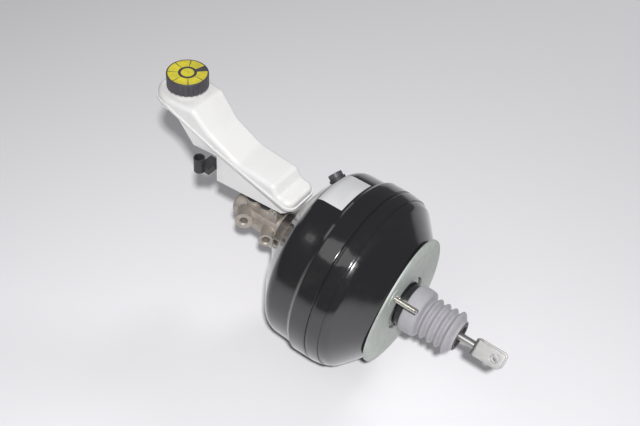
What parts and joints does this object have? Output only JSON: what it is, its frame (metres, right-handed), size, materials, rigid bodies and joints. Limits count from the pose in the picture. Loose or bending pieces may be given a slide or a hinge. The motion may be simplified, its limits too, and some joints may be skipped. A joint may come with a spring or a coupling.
{
  "type": "brake booster",
  "caption": "Tandem vacuum brake booster with pressed steel housing, mounting plate, push rod and clevis, boot, master cylinder and fluid reservoir.",
  "frame": {"origin": "centre of the mounting stud circle, in the plane of the bulkhead face", "axes": "+X along the booster axis towards the pedal, +Z towards the filler cap side, +Y completes the right-handed set"},
  "size_m": [0.6115, 0.279, 0.3365],
  "materials": {
    "black_paint": "gloss black stove enamel",
    "zinc_plate": "zinc plated pressing",
    "zinc_steel": "zinc plated",
    "bright_steel": "bright turned",
    "spring_steel": "oiled",
    "pressed_aluminium": "pressed sheet",
    "cast_aluminium": "as cast with machined faces",
    "machined_aluminium": "machined",
    "black_rubber": "matt",
    "grey_rubber": "dusty grey",
    "black_nylon": "moulded",
    "black_phenolic": "moulded",
    "charcoal_plastic": "moulded",
    "white_plastic": "natural nylon, slightly translucent",
    "filter_felt": "felt"
  },
  "bodies": {
    "housing": {"front_shell": "black_paint", "rear_shell": "black_paint", "mounting_plate": "zinc_plate", "mounting_studs": "zinc_steel", "hub_guide": "black_nylon", "centre_plate": "pressed_aluminium", "centre_seal": "black_rubber", "cylinder_studs": "zinc_steel", "cylinder_nuts": "zinc_steel", "spring_seat": "zinc_steel", "spigot_seal": "black_rubber", "power_spring": "spring_steel", "front_diaphragm": "black_rubber", "rear_diaphragm": "black_rubber", "boot": "grey_rubber", "cylinder_body": "cast_aluminium", "piston_stop": "black_nylon", "secondary_spring": "spring_steel", "feed_grommets": "black_rubber", "reservoir_lower": "white_plastic", "reservoir_upper": "white_plastic", "reservoir_pin": "bright_steel", "level_sensor": "black_nylon", "check_valve_grommet": "black_rubber", "check_valve": "charcoal_plastic"},
    "power_piston": {"front_piston_plate": "pressed_aluminium", "rear_piston_plate": "pressed_aluminium", "plate_retainer": "spring_steel", "valve_body": "black_phenolic", "reaction_disc": "black_rubber", "output_rod": "bright_steel", "retaining_key": "spring_steel", "poppet_valve": "black_rubber", "valve_retainer": "black_nylon", "air_filter": "filter_felt", "rod_spring": "spring_steel"},
    "control_plunger": {"control_plunger": "bright_steel"},
    "input_rod": {"operating_rod": "bright_steel", "clevis": "bright_steel"},
    "primary_piston": {"primary_piston": "machined_aluminium", "primary_cups": "black_rubber"},
    "secondary_piston": {"secondary_piston": "machined_aluminium", "secondary_cups": "black_rubber", "primary_spring": "spring_steel"},
    "cap_carrier": {"cap_seal": "black_rubber"},
    "filler_cap": {"filler_cap": "charcoal_plastic"},
    "level_float": {"level_float": "black_nylon"}
  },
  "joints": [
    {"name": "power_stroke", "type": "slide", "parent": "housing", "child": "power_piston", "axis": [-1, 0, 0], "range_m": [0, 0.032], "stiffness_N_per_m": 1500, "springref_m": -0.03, "deforming": ["power_spring", "front_diaphragm", "rear_diaphragm", "boot"]},
    {"name": "valve_travel", "type": "slide", "parent": "power_piston", "child": "control_plunger", "axis": [-1, 0, 0], "range_m": [0, 0.0016], "stiffness_N_per_m": 4000, "springref_m": -0.004, "deforming": ["rod_spring"]},
    {"name": "rod_pitch", "type": "hinge", "parent": "control_plunger", "child": "input_rod", "pos_m": [-0.036, 0, 0], "axis": [0, -0.7071, 0.7071], "range_deg": [-2.5, 2.5]},
    {"name": "primary_stroke", "type": "slide", "parent": "housing", "child": "primary_piston", "axis": [-1, 0, 0], "range_m": [0, 0.032]},
    {"name": "secondary_stroke", "type": "slide", "parent": "housing", "child": "secondary_piston", "axis": [-1, 0, 0], "range_m": [0, 0.016], "deforming": ["secondary_spring", "primary_spring"]},
    {"name": "cap_lift", "type": "slide", "parent": "housing", "child": "cap_carrier", "axis": [0, 0, 1], "range_m": [0, 0.009]},
    {"name": "cap_turn", "type": "hinge", "parent": "cap_carrier", "child": "filler_cap", "pos_m": [-0.406, 0, 0.197], "axis": [0, 0, 1], "range_deg": [0, 540]},
    {"name": "float_rise", "type": "slide", "parent": "housing", "child": "level_float", "axis": [0, 0, 1], "range_m": [0, 0.025]}
  ],
  "couplings": [
    {"joint": "primary_stroke", "follows": "power_stroke", "ratio": 1},
    {"joint": "secondary_stroke", "follows": "power_stroke", "ratio": 0.5},
    {"joint": "cap_turn", "follows": "cap_lift", "rad_per_m": 1047.2}
  ]
}
